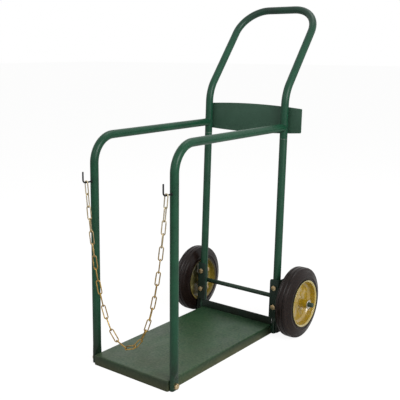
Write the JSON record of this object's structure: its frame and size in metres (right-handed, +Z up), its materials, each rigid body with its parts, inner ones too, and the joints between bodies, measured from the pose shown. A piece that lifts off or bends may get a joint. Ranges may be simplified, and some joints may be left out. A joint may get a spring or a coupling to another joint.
{
  "type": "oxy acetylene torch cart",
  "caption": "Upright two-wheeled cart for a pair of gas cylinders: folded tray, bent-tube rails and push handle, back plate and a chain across the front.",
  "frame": {"origin": "on the floor, at the middle of the bottom edge of the tray's front flange", "axes": "+Z up, +Y from the chain at the front towards the wheels and handle, +X to the right as seen by someone facing the chain side"},
  "size_m": [0.5631, 0.9076, 1.1583],
  "materials": {
    "green_enamel": "gloss dark green enamel",
    "green_enamel_matt": "semi-matt grey-green enamel",
    "tyre_rubber": "matt black-brown rubber",
    "yellow_rim_paint": "gloss yellow enamel",
    "zinc_hardware": "yellow-passivated zinc plate",
    "black_rod": "black enamel",
    "yellow_zinc_chain": "yellow-passivated zinc plate"
  },
  "bodies": {
    "frame": {"base_tray": "green_enamel", "rear_stop": "green_enamel", "upright_left": "green_enamel", "side_rail_left": "green_enamel", "axle_bracket_left": "green_enamel", "bracket_bolt_left_lower": "zinc_hardware", "bracket_bolt_left_upper": "zinc_hardware", "foot_bolt_left": "zinc_hardware", "washer_left": "zinc_hardware", "cotter_pin_left": "zinc_hardware", "chain_hook_left": "black_rod", "upright_right": "green_enamel", "side_rail_right": "green_enamel", "axle_bracket_right": "green_enamel", "bracket_bolt_right_lower": "zinc_hardware", "bracket_bolt_right_upper": "zinc_hardware", "foot_bolt_right": "zinc_hardware", "washer_right": "zinc_hardware", "cotter_pin_right": "zinc_hardware", "chain_hook_right": "black_rod", "handle_frame": "green_enamel", "back_plate": "green_enamel_matt", "axle": "green_enamel"},
    "wheel_left": {"tyre_left": "tyre_rubber", "rim_outer_left": "yellow_rim_paint", "rim_inner_left": "yellow_rim_paint", "hub_left": "yellow_rim_paint"},
    "wheel_right": {"tyre_right": "tyre_rubber", "rim_outer_right": "yellow_rim_paint", "rim_inner_right": "yellow_rim_paint", "hub_right": "yellow_rim_paint"},
    "chain": {"chain_link_01": "yellow_zinc_chain", "chain_link_02": "yellow_zinc_chain", "chain_link_03": "yellow_zinc_chain", "chain_link_04": "yellow_zinc_chain", "chain_link_05": "yellow_zinc_chain", "chain_link_06": "yellow_zinc_chain", "chain_link_07": "yellow_zinc_chain", "chain_link_08": "yellow_zinc_chain", "chain_link_09": "yellow_zinc_chain", "chain_link_10": "yellow_zinc_chain", "chain_link_11": "yellow_zinc_chain", "chain_link_12": "yellow_zinc_chain", "chain_link_13": "yellow_zinc_chain", "chain_link_14": "yellow_zinc_chain", "chain_link_15": "yellow_zinc_chain", "chain_link_16": "yellow_zinc_chain", "chain_link_17": "yellow_zinc_chain", "chain_link_18": "yellow_zinc_chain", "chain_link_19": "yellow_zinc_chain", "chain_link_20": "yellow_zinc_chain", "chain_link_21": "yellow_zinc_chain", "chain_link_22": "yellow_zinc_chain", "chain_link_23": "yellow_zinc_chain", "chain_link_24": "yellow_zinc_chain", "chain_link_25": "yellow_zinc_chain", "chain_link_26": "yellow_zinc_chain", "chain_link_27": "yellow_zinc_chain", "chain_link_28": "yellow_zinc_chain"}
  },
  "joints": [
    {"name": "wheel_left_spin", "type": "hinge", "parent": "frame", "child": "wheel_left", "pos_m": [-0.21055, 0.62574, 0.124], "axis": [1, 0, 0], "continuous": true},
    {"name": "wheel_right_spin", "type": "hinge", "parent": "frame", "child": "wheel_right", "pos_m": [0.23095, 0.62574, 0.124], "axis": [1, 0, 0], "continuous": true},
    {"name": "chain_swing", "type": "hinge", "parent": "frame", "child": "chain", "pos_m": [0, -0.0155, 0.6016], "axis": [1, 0, 0], "range_deg": [-60, 4]}
  ]
}
